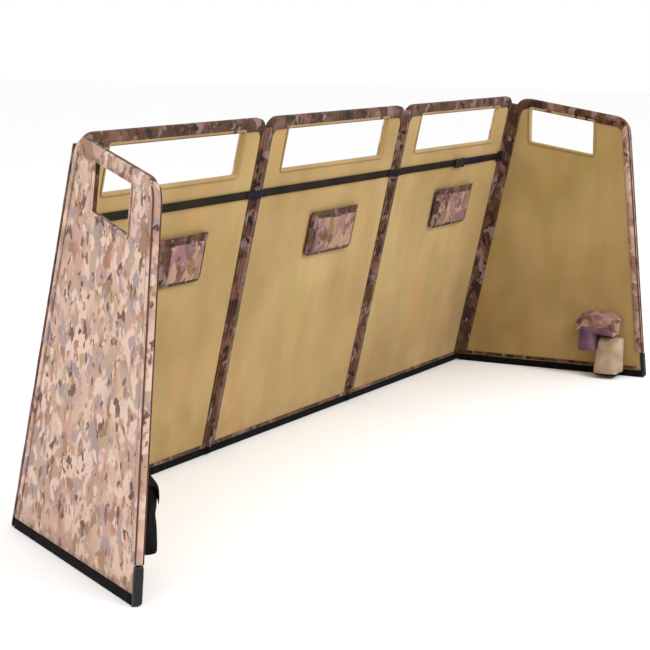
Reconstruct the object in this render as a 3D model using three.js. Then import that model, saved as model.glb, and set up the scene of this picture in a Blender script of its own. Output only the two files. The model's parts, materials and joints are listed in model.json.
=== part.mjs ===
// A folding panel blind for field use: three flat front panels and two end wings, joined in a row by
// fabric hinges and stood on edge in a U. Each panel is a bent tube frame inside a cloth envelope,
// camouflage outside and khaki inside, with a viewing window under its top rail.
//
// Millimetres, +Z up. The origin is on the ground in the middle of the middle front panel. The front
// runs along X, the outside faces +Y, and the hunter sits on the -Y side.
//
// Every panel is drawn in its own plane: x along the ground from left to right as seen from inside,
// z up the slope of the panel, and y through its thickness, with the outside at +y.
import * as THREE from "three";

// Driving dimensions.
const PITCH = 914; // from one fabric hinge to the next along the front
const SLOPE_HEIGHT = 1067; // of a front panel, measured up its slope
const FRONT_LEAN = THREE.MathUtils.degToRad(12.8); // the front leans in over the hunter
const LEFT_FOLD = THREE.MathUtils.degToRad(59.3); // how far each wing is folded in at rest
const RIGHT_FOLD = THREE.MathUtils.degToRad(90);
const WING_BASE = 775; // ground length of a wing
const WING_REAR_HEIGHT = 966; // of a wing's free edge, which is lower than the front
const WING_REAR_RAKE = 89; // how far that edge leans forward at the top
const CORNER_RADIUS = 55; // at the top of each panel

const WINDOW = { width: 660, height: 128, railAbove: 37 };
const WING_WINDOW = { height: 120, railAbove: 37 };
// Where each wing's window starts and stops, from the hinge along the top edge.
const LEFT_WINDOW_SPAN = [135, 360];
const RIGHT_WINDOW_SPAN = [60, 315];
const WINDOW_CORNER = 8;

// The envelope, from its middle outwards.
const TUBE_RADIUS = 6.5;
const RAIL_RADIUS = 5;
const CLEARANCE = 0.5;
const CLOTH = 2;
const HALF_THICKNESS = TUBE_RADIUS + CLEARANCE + CLOTH;
const BINDING = 12; // visible width of the binding along each edge
const WINDOW_BINDING = 6;
const TUBE_SPACE = 4; // between the binding and the tube
const TUBE_INSET = BINDING + CLEARANCE + TUBE_RADIUS + TUBE_SPACE; // tube centre from the panel's edge
const HEM_HEIGHT = 24; // black hem that stands on the ground
const HEM_GAP = 3; // between the hem and the cloth above it

// The fabric hinge turns on a beaded seam just proud of the inner face.
const BEAD_RADIUS = 5;
const AXIS_PROUD = 4;
const AXIS_OFFSET = HALF_THICKNESS + AXIS_PROUD; // from the middle of a panel to the hinge axis
const SEAM_GAP = 7; // from the axis to the edge of either panel
const BEAD_GROUND_GAP = 14;

// How finely the round pieces are faceted.
const TUBE_SIDES = 8;
const BEAD_SIDES = 10;
const BEND_STEPS = 4;
const FILLET_STEPS = 5;

const FOOT = { width: 13, height: 92, proud: 2, toe: 4, corner: 10 };
const STRAP = { height: 838, width: 25, thickness: 2.5, endGap: 12 };
const STRAP_TAB = { length: 46, width: 40, thickness: 3, corner: 4 };
const BUCKLE = { fromSeam: 470, length: 78, width: 36, thickness: 12, corner: 7 };
const STRAP_TAIL = { length: 170, width: 24, thickness: 2.5, corner: 2 };
const POCKET = { width: 305, height: 142, bottom: 602, offCentre: 60, depth: 14, corner: 8 };
const POUCH = { width: 156, fromRear: 92, bottom: 88, depth: 90, corner: 14 };
const LEFT_POUCH_TOP = 276;
const RIGHT_POUCH_TOP = 228;
const LOW_POUCH = { width: 96, fromRear: 76, bottom: 5, top: 152, topDepth: 64, baseDepth: 122, corner: 18 };
const POUCH_GAP = 4; // between the two pouches of the right wing

const CAMO = { color: 0xc8aa98, roughness: 0.92, metalness: 0 };
const KHAKI = { color: 0xb59a63, roughness: 0.9, metalness: 0 };
const DARK_CAMO = { color: 0x5c3f30, roughness: 0.9, metalness: 0 };
const BLACK_CLOTH = { color: 0x14120f, roughness: 0.95, metalness: 0 };
const BLACK_PLASTIC = { color: 0x101010, roughness: 0.55, metalness: 0 };
const WEBBING = { color: 0x23252a, roughness: 0.85, metalness: 0 };
const TAN_CANVAS = { color: 0xb6a286, roughness: 0.9, metalness: 0 };
const TUBE_METAL = { color: 0x9a9c9e, roughness: 0.4, metalness: 0.8 };

const model = new THREE.Group();

function addMesh(parent, name, geometry, look) {
  const mesh = new THREE.Mesh(geometry, new THREE.MeshStandardMaterial(look));
  mesh.name = name;
  parent.add(mesh);
  return mesh;
}

// ---- Outlines in the plane of a panel ----

const point = (x, z) => new THREE.Vector2(x, z);

// Where two lines cross, each given by a point and a direction.
function crossing(p, d, q, e) {
  const t = q.clone().sub(p).cross(e) / d.cross(e);
  return p.clone().addScaledVector(d, t);
}

// An anticlockwise convex outline with each edge moved inwards by its own distance. Edge i runs from
// corner i to the next one.
function inset(corners, distances) {
  const count = corners.length;
  const edges = corners.map((corner, i) => {
    const along = corners[(i + 1) % count].clone().sub(corner).normalize();
    const inward = point(-along.y, along.x);
    return { start: corner.clone().addScaledVector(inward, distances[i]), along };
  });
  return edges.map((edge, i) => {
    const before = edges[(i + count - 1) % count];
    return crossing(before.start, before.along, edge.start, edge.along);
  });
}

// A shape through the corners, each rounded by its own radius.
function roundedShape(corners, radii, shape = new THREE.Shape()) {
  const count = corners.length;
  corners.forEach((corner, i) => {
    const before = corners[(i + count - 1) % count];
    const after = corners[(i + 1) % count];
    const arrive = corner.clone().lerp(before, radii[i] / corner.distanceTo(before));
    const leave = corner.clone().lerp(after, radii[i] / corner.distanceTo(after));
    if (i === 0) shape.moveTo(arrive.x, arrive.y);
    else shape.lineTo(arrive.x, arrive.y);
    if (radii[i] > 0) shape.quadraticCurveTo(corner.x, corner.y, leave.x, leave.y);
  });
  shape.closePath();
  return shape;
}

// A shape made into a plate whose outer face is at outerY and whose thickness runs inwards.
function plate(shape, outerY, thickness) {
  const options = { depth: thickness, bevelEnabled: false, curveSegments: FILLET_STEPS };
  const geometry = new THREE.ExtrudeGeometry(shape, options);
  geometry.rotateX(Math.PI / 2);
  geometry.translate(0, outerY, 0);
  return geometry;
}

const rectangle = (left, bottom, width, height) => [
  point(left, bottom),
  point(left + width, bottom),
  point(left + width, bottom + height),
  point(left, bottom + height),
];

// Slides a piece up or down along its thickness so that its level base lies flat on the ground.
function levelBase(geometry, lean) {
  const shear = new THREE.Matrix4().set(1, 0, 0, 0, 0, 1, 0, 0, 0, -Math.tan(lean), 1, 0, 0, 0, 0, 1);
  return geometry.applyMatrix4(shear);
}

// ---- Tubes ----

// A path of straight runs through its points, with one step for each run.
class CornerPath extends THREE.Curve {
  constructor(points) {
    super();
    this.points = points;
  }
  getPoint(t, target = new THREE.Vector3()) {
    const last = this.points.length - 1;
    const i = Math.min(Math.floor(t * last), last - 1);
    return target.lerpVectors(this.points[i], this.points[i + 1], t * last - i);
  }
  getUtoTmapping(u) {
    return u;
  }
}

function tube(points, radius) {
  const section = new THREE.Shape();
  for (let i = 0; i < TUBE_SIDES; i++) {
    const angle = (2 * Math.PI * i) / TUBE_SIDES;
    const x = radius * Math.cos(angle);
    const y = radius * Math.sin(angle);
    if (i === 0) section.moveTo(x, y);
    else section.lineTo(x, y);
  }
  section.closePath();
  const extrudePath = new CornerPath(points);
  return new THREE.ExtrudeGeometry(section, { steps: points.length - 1, extrudePath });
}

const inPlane = (p) => new THREE.Vector3(p.x, 0, p.y);

// Points round a bend from one straight run to the next.
function bend(before, corner, after, radius) {
  const arrive = corner.clone().lerp(before, radius / corner.distanceTo(before));
  const leave = corner.clone().lerp(after, radius / corner.distanceTo(after));
  const curve = new THREE.QuadraticBezierCurve(arrive, corner, leave);
  return curve.getPoints(BEND_STEPS);
}

// The point at height z on the line from a to b.
const alongToHeight = (a, b, z) => a.clone().lerp(b, (z - a.y) / (b.y - a.y));

// ---- One panel ----

// The four corners of each outline run anticlockwise from the lower left one, so its edges are the
// base, the right side, the top and the left side.

function frameHoop(outline) {
  const legFoot = HEM_HEIGHT + HEM_GAP + 4 * TUBE_RADIUS;
  const [lowLeft, lowRight, highRight, highLeft] = inset(outline, Array(4).fill(TUBE_INSET));
  const leftFoot = alongToHeight(lowLeft, highLeft, legFoot);
  const rightFoot = alongToHeight(lowRight, highRight, legFoot);
  const radius = CORNER_RADIUS - TUBE_INSET + 2 * TUBE_RADIUS;
  const route = [
    leftFoot,
    ...bend(leftFoot, highLeft, highRight, radius),
    ...bend(highLeft, highRight, rightFoot, radius),
    rightFoot,
  ];
  return tube(route.map(inPlane), TUBE_RADIUS);
}

function baseBar(outline) {
  const height = HEM_HEIGHT + HEM_GAP + 2 * TUBE_RADIUS;
  const sides = [height, TUBE_INSET - TUBE_RADIUS, 0, TUBE_INSET - TUBE_RADIUS];
  const [left, right] = inset(outline, sides);
  return tube([left, right].map(inPlane), TUBE_RADIUS);
}

// A straight rail under the window, parallel to it, from one leg of the hoop to the other.
function windowRail(outline, windowOutline) {
  const legs = inset(outline, Array(4).fill(TUBE_INSET + TUBE_RADIUS + RAIL_RADIUS));
  const [sillLeft, sillRight] = windowOutline;
  const drop = point(0, -(WINDOW_BINDING + 2 * RAIL_RADIUS));
  const start = sillLeft.clone().add(drop);
  const along = sillRight.clone().sub(sillLeft);
  const left = crossing(start, along, legs[0], legs[3].clone().sub(legs[0]));
  const right = crossing(start, along, legs[1], legs[2].clone().sub(legs[1]));
  return tube([left, right].map(inPlane), RAIL_RADIUS);
}

function clothFace(outline, windowOutline, outerY) {
  const side = BINDING + CLEARANCE;
  const corners = inset(outline, [HEM_HEIGHT + HEM_GAP, side, side, side]);
  const radius = CORNER_RADIUS - side;
  const shape = roundedShape(corners, [0, 0, radius, radius]);
  const hole = inset(windowOutline, Array(4).fill(-WINDOW_BINDING - CLEARANCE));
  const corner = WINDOW_CORNER + WINDOW_BINDING;
  shape.holes.push(roundedShape(hole, Array(4).fill(corner), new THREE.Path()));
  return plate(shape, outerY, CLOTH);
}

// Bound cloth over both sides and the top. Its left and right ends stop at their own heights.
function edgeBinding(outline, endHeights) {
  const [outerLeft, outerRight, outerTopRight, outerTopLeft] = outline;
  const [innerLeft, innerRight, innerTopRight, innerTopLeft] = inset(outline, Array(4).fill(BINDING));
  const corners = [
    alongToHeight(outerLeft, outerTopLeft, endHeights.left),
    alongToHeight(innerLeft, innerTopLeft, endHeights.left),
    innerTopLeft,
    innerTopRight,
    alongToHeight(innerRight, innerTopRight, endHeights.right),
    alongToHeight(outerRight, outerTopRight, endHeights.right),
    outerTopRight,
    outerTopLeft,
  ];
  const inner = CORNER_RADIUS - BINDING;
  const radii = [0, 0, inner, inner, 0, 0, CORNER_RADIUS, CORNER_RADIUS];
  return plate(roundedShape(corners, radii), HALF_THICKNESS, 2 * HALF_THICKNESS);
}

function windowBinding(windowOutline) {
  const outer = inset(windowOutline, Array(4).fill(-WINDOW_BINDING));
  const shape = roundedShape(outer, Array(4).fill(WINDOW_CORNER + WINDOW_BINDING));
  shape.holes.push(roundedShape(windowOutline, Array(4).fill(WINDOW_CORNER), new THREE.Path()));
  return plate(shape, HALF_THICKNESS, 2 * HALF_THICKNESS);
}

function groundHem(left, right, lean) {
  const shape = roundedShape(rectangle(left, 0, right - left, HEM_HEIGHT), [0, 0, 0, 0]);
  return levelBase(plate(shape, HALF_THICKNESS, 2 * HALF_THICKNESS), lean);
}

// The pieces that every panel has, in a group turned and leant to where the panel stands.
function addPanel({ name, outline, windowOutline, hem, bindingEnds, foot, turn, lean }) {
  const panel = new THREE.Group();
  const outward = new THREE.Vector3(-Math.sin(turn), Math.cos(turn), 0);
  const axisToMiddle = AXIS_OFFSET / Math.cos(lean);
  panel.position.copy(foot).addScaledVector(outward, axisToMiddle);
  panel.rotation.set(lean, 0, turn, "ZYX");
  model.add(panel);
  addMesh(panel, `frame_hoop_${name}`, frameHoop(outline), TUBE_METAL);
  addMesh(panel, `frame_base_bar_${name}`, baseBar(outline), TUBE_METAL);
  addMesh(panel, `window_rail_${name}`, windowRail(outline, windowOutline), TUBE_METAL);
  addMesh(panel, `outer_cover_${name}`, clothFace(outline, windowOutline, HALF_THICKNESS), CAMO);
  const liningY = CLOTH - HALF_THICKNESS;
  addMesh(panel, `lining_${name}`, clothFace(outline, windowOutline, liningY), KHAKI);
  addMesh(panel, `edge_binding_${name}`, edgeBinding(outline, bindingEnds), DARK_CAMO);
  addMesh(panel, `window_binding_${name}`, windowBinding(windowOutline), DARK_CAMO);
  addMesh(panel, `ground_hem_${name}`, groundHem(hem.left, hem.right, lean), BLACK_CLOTH);
  return panel;
}

// ---- Front panels ----

const axisFoot = (x) => new THREE.Vector3(x, -AXIS_OFFSET / Math.cos(FRONT_LEAN), 0);

function addFrontPanel(name, leftSeam) {
  const width = PITCH - 2 * SEAM_GAP;
  const sill = SLOPE_HEIGHT - WINDOW.railAbove - WINDOW.height;
  const windowLeft = (PITCH - WINDOW.width) / 2;
  return addPanel({
    name,
    outline: rectangle(SEAM_GAP, 0, width, SLOPE_HEIGHT),
    windowOutline: rectangle(windowLeft, sill, WINDOW.width, WINDOW.height),
    hem: { left: SEAM_GAP, right: SEAM_GAP + width },
    bindingEnds: { left: HEM_HEIGHT + HEM_GAP, right: HEM_HEIGHT + HEM_GAP },
    foot: axisFoot(leftSeam),
    turn: 0,
    lean: FRONT_LEAN,
  });
}

// ---- Wings ----

// A wing folded in by an angle meets the ground along its whole base only if its hinge edge is cut to
// this angle, and it then leans in by this much itself.
function wingAngles(fold) {
  const hingeCorner = Math.acos(Math.sin(FRONT_LEAN) * Math.sin(fold));
  const lean = Math.asin((Math.sin(FRONT_LEAN) * Math.cos(fold)) / Math.sin(hingeCorner));
  return { hingeCorner, lean };
}

// Corners of a wing from the hinge outwards, given for the right wing.
function wingOutline(hingeCorner) {
  const hingeTop = point(Math.cos(hingeCorner), Math.sin(hingeCorner)).multiplyScalar(SLOPE_HEIGHT);
  const rearTop = point(WING_BASE - WING_REAR_RAKE, WING_REAR_HEIGHT);
  const whole = [point(0, 0), point(WING_BASE, 0), rearTop, hingeTop];
  return inset(whole, [0, 0, 0, SEAM_GAP]);
}

// The head and sill of a wing's window follow its top edge, and the sides of the window are upright.
function wingWindow(outline, [start, stop]) {
  const [, , rearTop, hingeTop] = outline;
  const along = rearTop.clone().sub(hingeTop).normalize();
  const down = point(along.y, -along.x);
  const head = hingeTop.clone().addScaledVector(down, WING_WINDOW.railAbove);
  const sill = head.clone().addScaledVector(down, WING_WINDOW.height);
  const near = head.clone().addScaledVector(along, start);
  const far = head.clone().addScaledVector(along, stop);
  const onSill = (corner) => crossing(corner, point(0, 1), sill, along);
  return [onSill(near), onSill(far), far, near];
}

// The same outline on the other side of the hinge, still anticlockwise from its lower left corner.
const mirrored = ([a, b, c, d]) => [b, a, d, c].map((p) => point(-p.x, p.y));

function cornerFoot(side, lean) {
  const rake = (WING_REAR_RAKE / WING_REAR_HEIGHT) * FOOT.height;
  const rear = WING_BASE + FOOT.toe;
  const front = WING_BASE - FOOT.width + 2 * CLEARANCE;
  const corners = [
    point(front, 0),
    point(rear, 0),
    point(rear - rake, FOOT.height),
    point(front - rake, FOOT.height),
  ];
  const handed = side < 0 ? mirrored(corners) : corners;
  const radii = side < 0 ? [FOOT.corner, 0, 0, 0] : [0, FOOT.corner, 0, 0];
  const half = HALF_THICKNESS + FOOT.proud;
  return levelBase(plate(roundedShape(handed, radii), half, 2 * half), lean);
}

function notchCorners({ fromRear, top }, rear, bottom) {
  const inner = WING_BASE - fromRear;
  return [point(inner, bottom), point(inner, top), point(rear, top)];
}

// A box-shaped gear pouch hung on the lining near the free edge of a wing. notch cuts its lower rear
// corner away, up to this height and forward to this distance from the free edge.
function cornerPouch(side, top, notch) {
  const rear = WING_BASE - POUCH.fromRear;
  const front = rear - POUCH.width;
  const { bottom, corner, depth } = POUCH;
  const lowerRear = notch ? notchCorners(notch, rear, bottom) : [point(rear, bottom)];
  const corners = [point(front, bottom), ...lowerRear, point(rear, top), point(front, top)];
  const handed = side < 0 ? corners.map((p) => point(-p.x, p.y)).reverse() : corners;
  const shape = roundedShape(handed, Array(handed.length).fill(corner));
  return plate(shape, -HALF_THICKNESS - CLEARANCE, depth);
}

// A wedge-shaped pouch that stands on the ground, drawn in section and swept forward along the right
// wing.
function lowPouch(lean) {
  const { bottom, top, baseDepth, topDepth, corner, width, fromRear } = LOW_POUCH;
  const section = roundedShape(
    [point(0, bottom), point(baseDepth, bottom), point(topDepth, top), point(0, top)],
    [0, corner, corner, 0],
  );
  const options = { depth: width, bevelEnabled: false, curveSegments: FILLET_STEPS };
  const geometry = new THREE.ExtrudeGeometry(section, options);
  // Section x runs inwards from the lining, section y up, and the sweep forward along the wing.
  const toWing = new THREE.Matrix4().set(0, 0, -1, 0, -1, 0, 0, 0, 0, 1, 0, 0, 0, 0, 0, 1);
  geometry.applyMatrix4(toWing);
  geometry.translate(WING_BASE - fromRear, -HALF_THICKNESS - CLEARANCE, 0);
  return levelBase(geometry, lean);
}

// side is -1 for the left wing and 1 for the right one.
function addWing({ name, side, fold, hingeX, windowSpan, pouchTop, pouchNotch }) {
  const { hingeCorner, lean } = wingAngles(fold);
  const rightOutline = wingOutline(hingeCorner);
  const rightWindow = wingWindow(rightOutline, windowSpan);
  const hemEnds = [2 * SEAM_GAP, WING_BASE - FOOT.width - HEM_GAP];
  const low = HEM_HEIGHT + HEM_GAP;
  const high = FOOT.height + HEM_GAP;
  const panel = addPanel({
    name,
    outline: side < 0 ? mirrored(rightOutline) : rightOutline,
    windowOutline: side < 0 ? mirrored(rightWindow) : rightWindow,
    hem: side < 0 ? { left: -hemEnds[1], right: -hemEnds[0] } : { left: hemEnds[0], right: hemEnds[1] },
    bindingEnds: side < 0 ? { left: high, right: low } : { left: low, right: high },
    foot: axisFoot(hingeX),
    turn: -side * fold,
    lean,
  });
  addMesh(panel, `corner_foot_${name}`, cornerFoot(side, lean), BLACK_PLASTIC);
  addMesh(panel, `corner_pouch_${name}`, cornerPouch(side, pouchTop, pouchNotch), CAMO);
  if (pouchNotch) addMesh(panel, `low_pouch_${name}`, lowPouch(lean), TAN_CANVAS);
}

// ---- What is sewn inside the front ----

// A rounded piece that lies on the inner face, standing in from it by its thickness.
function innerPatch(left, bottom, width, height, start, thickness, corner) {
  const shape = roundedShape(rectangle(left, bottom, width, height), Array(4).fill(corner));
  return plate(shape, -HALF_THICKNESS - start, thickness);
}

function addPocket(panel, name) {
  const left = (PITCH - POCKET.width) / 2 + POCKET.offCentre;
  const { bottom, width, height, depth, corner } = POCKET;
  const pocket = innerPatch(left, bottom, width, height, CLEARANCE, depth, corner);
  addMesh(panel, `gear_pocket_${name}`, pocket, CAMO);
}

// A band centred on the strap's line.
function strapBand(left, length, width, start, thickness, corner) {
  return innerPatch(left, STRAP.height - width / 2, length, width, start, thickness, corner);
}

const STRAP_FACE = CLEARANCE + STRAP.thickness;

function addStrap(panel, name, left, right) {
  const band = strapBand(left, right - left, STRAP.width, CLEARANCE, STRAP.thickness, 0);
  addMesh(panel, `strap_${name}`, band, WEBBING);
}

function addStrapTab(panel, name, left) {
  const start = STRAP_FACE + CLEARANCE;
  const { length, width, thickness, corner } = STRAP_TAB;
  const tab = strapBand(left, length, width, start, thickness, corner);
  addMesh(panel, `strap_tab_${name}`, tab, BLACK_CLOTH);
}

function strapTail(left, start) {
  const { length, width, thickness, corner } = STRAP_TAIL;
  return strapBand(left, length, width, start, thickness, corner);
}

function addBuckle(panel) {
  const start = STRAP_FACE + CLEARANCE;
  const { fromSeam, length, width, thickness, corner } = BUCKLE;
  const body = strapBand(fromSeam, length, width, start, thickness, corner);
  addMesh(panel, "strap_buckle", body, BLACK_PLASTIC);
  const tailLeft = fromSeam + length + CLEARANCE;
  addMesh(panel, "strap_tail", strapTail(tailLeft, start), WEBBING);
}

// ---- The beaded seams that the panels fold about ----

function addSeamBead(name, x) {
  const length = SLOPE_HEIGHT - BEAD_GROUND_GAP - CORNER_RADIUS;
  const bead = new THREE.CylinderGeometry(BEAD_RADIUS, BEAD_RADIUS, length, BEAD_SIDES);
  bead.rotateX(Math.PI / 2);
  bead.translate(0, 0, BEAD_GROUND_GAP + length / 2);
  const mesh = addMesh(model, `seam_bead_${name}`, bead, DARK_CAMO);
  mesh.position.copy(axisFoot(x));
  mesh.rotation.x = FRONT_LEAN;
}

const seams = [-1.5 * PITCH, -0.5 * PITCH, 0.5 * PITCH, 1.5 * PITCH];
const frontNames = ["front_left", "front_middle", "front_right"];
const fronts = frontNames.map((name, i) => addFrontPanel(name, seams[i]));
fronts.forEach((panel, i) => {
  addPocket(panel, frontNames[i]);
  addStrap(panel, frontNames[i], STRAP.endGap, PITCH - STRAP.endGap);
});
addStrapTab(fronts[0], "left", STRAP.endGap);
addStrapTab(fronts[2], "right", PITCH - STRAP.endGap - STRAP_TAB.length);
addBuckle(fronts[2]);
addWing({
  name: "wing_left",
  side: -1,
  fold: LEFT_FOLD,
  hingeX: seams[0],
  windowSpan: LEFT_WINDOW_SPAN,
  pouchTop: LEFT_POUCH_TOP,
});
addWing({
  name: "wing_right",
  side: 1,
  fold: RIGHT_FOLD,
  hingeX: seams[3],
  windowSpan: RIGHT_WINDOW_SPAN,
  pouchTop: RIGHT_POUCH_TOP,
  pouchNotch: {
    fromRear: LOW_POUCH.fromRear + LOW_POUCH.width + POUCH_GAP,
    top: LOW_POUCH.top + POUCH_GAP,
  },
});
["wing_left", "front_left", "front_right", "wing_right"].forEach((name, i) => addSeamBead(name, seams[i]));

export default model;
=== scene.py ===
import json
import math
from itertools import product

import bpy
from mathutils import Matrix, Vector, noise


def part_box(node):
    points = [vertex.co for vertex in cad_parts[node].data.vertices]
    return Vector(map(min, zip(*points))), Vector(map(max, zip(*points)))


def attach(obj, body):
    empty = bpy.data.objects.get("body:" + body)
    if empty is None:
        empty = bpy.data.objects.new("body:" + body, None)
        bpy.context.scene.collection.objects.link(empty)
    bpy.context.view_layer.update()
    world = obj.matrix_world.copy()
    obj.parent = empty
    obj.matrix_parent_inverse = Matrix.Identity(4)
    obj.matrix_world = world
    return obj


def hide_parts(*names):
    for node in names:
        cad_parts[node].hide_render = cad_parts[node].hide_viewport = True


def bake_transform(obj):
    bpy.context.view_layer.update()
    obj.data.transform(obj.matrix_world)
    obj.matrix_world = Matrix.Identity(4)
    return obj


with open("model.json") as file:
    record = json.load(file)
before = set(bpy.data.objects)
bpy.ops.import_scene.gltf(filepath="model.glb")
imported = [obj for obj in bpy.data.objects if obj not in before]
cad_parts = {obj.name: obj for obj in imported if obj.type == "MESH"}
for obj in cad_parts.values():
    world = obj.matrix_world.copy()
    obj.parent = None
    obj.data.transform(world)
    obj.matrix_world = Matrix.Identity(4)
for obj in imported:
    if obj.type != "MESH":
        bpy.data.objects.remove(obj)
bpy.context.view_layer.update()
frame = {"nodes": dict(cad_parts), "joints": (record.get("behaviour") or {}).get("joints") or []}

# ---------------------------------------------------------------- sizes read from the frame

joints = {joint["name"]: joint for joint in frame["joints"]}
fold_line = joints["front_left_fold"]
PITCH = 2 * abs(fold_line["pos_m"][0])
LEAN = math.atan2(-fold_line["axis"][1], fold_line["axis"][2])
AXIS_Y = fold_line["pos_m"][1]
AXIS_OFFSET = -AXIS_Y * math.cos(LEAN)  # from the middle of a panel to the hinge axis
LEFT_FOLD = -math.radians(joints["wing_left_fold"]["range_deg"][0])
RIGHT_FOLD = -math.radians(joints["wing_right_fold"]["range_deg"][0])
_low, _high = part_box("edge_binding_wing_right")
HALF = (_high.x - _low.x) / 2  # half of a panel's thickness

# ---------------------------------------------------------------- sizes of the CAD part

SLOPE_HEIGHT = 1.067
WING_BASE = 0.775
WING_REAR_HEIGHT = 0.966
WING_REAR_RAKE = 0.089
CORNER_RADIUS = 0.055
SEAM_GAP = 0.007
BEAD_RADIUS = 0.005
WINDOW_WIDTH, WINDOW_HEIGHT = 0.660, 0.128
WING_WINDOW_HEIGHT = 0.120
LEFT_WINDOW_SPAN, RIGHT_WINDOW_SPAN = (0.135, 0.360), (0.060, 0.315)
RAIL_ABOVE_WINDOW = 0.037
HEM_HEIGHT = 0.024
HEM_GAP = 0.003
FOOT_HEIGHT = 0.092
STRAP_HEIGHT, STRAP_WIDTH = 0.838, 0.025
TAB_LENGTH, TAB_WIDTH, TAB_FROM_SEAM = 0.046, 0.040, 0.012
BUCKLE_FROM_SEAM, BUCKLE_LENGTH = 0.470, 0.078
POCKET_WIDTH, POCKET_HEIGHT, POCKET_BOTTOM, POCKET_OFF_CENTRE = 0.305, 0.142, 0.602, 0.060
POUCH_WIDTH, POUCH_FROM_REAR, POUCH_BOTTOM, POUCH_DEPTH = 0.156, 0.092, 0.088, 0.090
LEFT_POUCH_TOP, RIGHT_POUCH_TOP = 0.276, 0.228
LOW_WIDTH, LOW_FROM_REAR, LOW_BOTTOM, LOW_TOP = 0.096, 0.076, 0.005, 0.152
LOW_TOP_DEPTH, LOW_BASE_DEPTH = 0.064, 0.122
LOW_END = HEM_HEIGHT + HEM_GAP  # where the cloth and the bindings stop above the hem
FOOT_END = FOOT_HEIGHT + HEM_GAP  # and above a wing's boot

# ---------------------------------------------------------------- sizes of the cloth work

CLOTH = 0.0012
CLOTH_STEP = 0.016  # between the points of a cloth face
CLOTH_INSET = 0.004  # of a cloth face from the bound edges
SAG, DRAPE, FAN_FOLD = 0.0055, 0.0034, 0.0026  # how far each kind of slack lifts the cloth
TAPE = 0.0014  # thickness of binding tape
TAPE_WIDTH = 0.027  # of the binding on either face
TOP_TAPE_RATIO = RAIL_ABOVE_WINDOW / TAPE_WIDTH  # the top rail is bound right down to the window
WINDOW_TAPE, WINDOW_RADIUS = 0.009, 0.006
PIPING_RADIUS = 0.0026
THREAD = 0.0009
STITCH_PITCH, STITCH_LENGTH = 0.0075, 0.005
WEB = 0.0022  # thickness of the strap's webbing
WEB_LIFT = 0.0024  # of the webbing from the panel's face
TAIL_LENGTH, TAIL_WIDTH = 0.168, 0.024
STRAP_TUCK = 0.020  # from a seam to where the strap starts, under its patch
STRAP_END = 0.040  # where the straps on two panels give way to the bridge between them


# ---------------------------------------------------------------- outlines in a panel's plane

def crossing(p, d, q, e):
    """Where the line through p along d meets the line through q along e."""
    gap = q - p
    return p + d * ((gap.x * e.y - gap.y * e.x) / (d.x * e.y - d.y * e.x))


def edges(corners):
    """Each corner of an anticlockwise outline, with the way along its edge and the way inwards."""
    result = []
    for i, corner in enumerate(corners):
        along = (corners[(i + 1) % len(corners)] - corner).normalized()
        result.append((corner, along, Vector((-along.y, along.x))))
    return result


def inset(corners, distances):
    """An anticlockwise outline with each edge moved inwards by its own distance."""
    moved = [(p + inward * far, along) for (p, along, inward), far in zip(edges(corners), distances)]
    return [crossing(*moved[i - 1], *moved[i]) for i in range(len(moved))]


def rectangle(left, bottom, width, height):
    right, top = left + width, bottom + height
    return [Vector(p) for p in ((left, bottom), (right, bottom), (right, top), (left, top))]


def area_of(corners):
    pairs = zip(corners, corners[1:] + corners[:1])
    return abs(sum(a.x * b.y - b.x * a.y for a, b in pairs)) / 2


def at_height(a, b, z):
    """The point at height z on the line from a to b."""
    return a.lerp(b, (z - a.y) / (b.y - a.y))


def spread(start, end, steps):
    """Evenly spaced values, with both ends."""
    return [start + (end - start) * i / steps for i in range(steps + 1)]


def straight(a, b, steps):
    """Points between two others, without the ends."""
    return [a.lerp(b, i / steps) for i in range(1, steps)]


def turned_corner(before, corner, after, radius, steps):
    """A curve that cuts a corner, starting and ending this far from it."""
    arrive = corner.lerp(before, radius / (corner - before).length)
    leave = corner.lerp(after, radius / (corner - after).length)
    shares = spread(0, 1, steps)
    return [arrive.lerp(corner, t).lerp(corner.lerp(leave, t), t) for t in shares]


def smoothstep(low, high, value):
    share = min(max((value - low) / (high - low), 0.0), 1.0)
    return share * share * (3 - 2 * share)


def wing_angles(fold):
    """The angle of a wing's hinge corner and its lean, for a base that lies flat on the ground."""
    corner = math.acos(math.sin(LEAN) * math.sin(fold))
    lean = math.asin(math.sin(LEAN) * math.cos(fold) / math.sin(corner))
    return corner, lean


def wing_outline(hinge_corner):
    hinge_top = Vector((math.cos(hinge_corner), math.sin(hinge_corner))) * SLOPE_HEIGHT
    rear_top = Vector((WING_BASE - WING_REAR_RAKE, WING_REAR_HEIGHT))
    whole = [Vector((0, 0)), Vector((WING_BASE, 0)), rear_top, hinge_top]
    return inset(whole, [0, 0, 0, SEAM_GAP])


def wing_window(outline, span):
    """A wing's window: head and sill follow the top edge, and the sides are upright."""
    hinge_top, rear_top = outline[3], outline[2]
    along = (rear_top - hinge_top).normalized()
    down = Vector((along.y, -along.x))
    head = hinge_top + down * RAIL_ABOVE_WINDOW
    sill = head + down * WING_WINDOW_HEIGHT
    near, far = head + along * span[0], head + along * span[1]
    upright = Vector((0, 1))
    return [crossing(near, upright, sill, along), crossing(far, upright, sill, along), far, near]


def mirrored(corners):
    a, b, c, d = corners
    return [Vector((-p.x, p.y)) for p in (b, a, d, c)]


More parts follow.
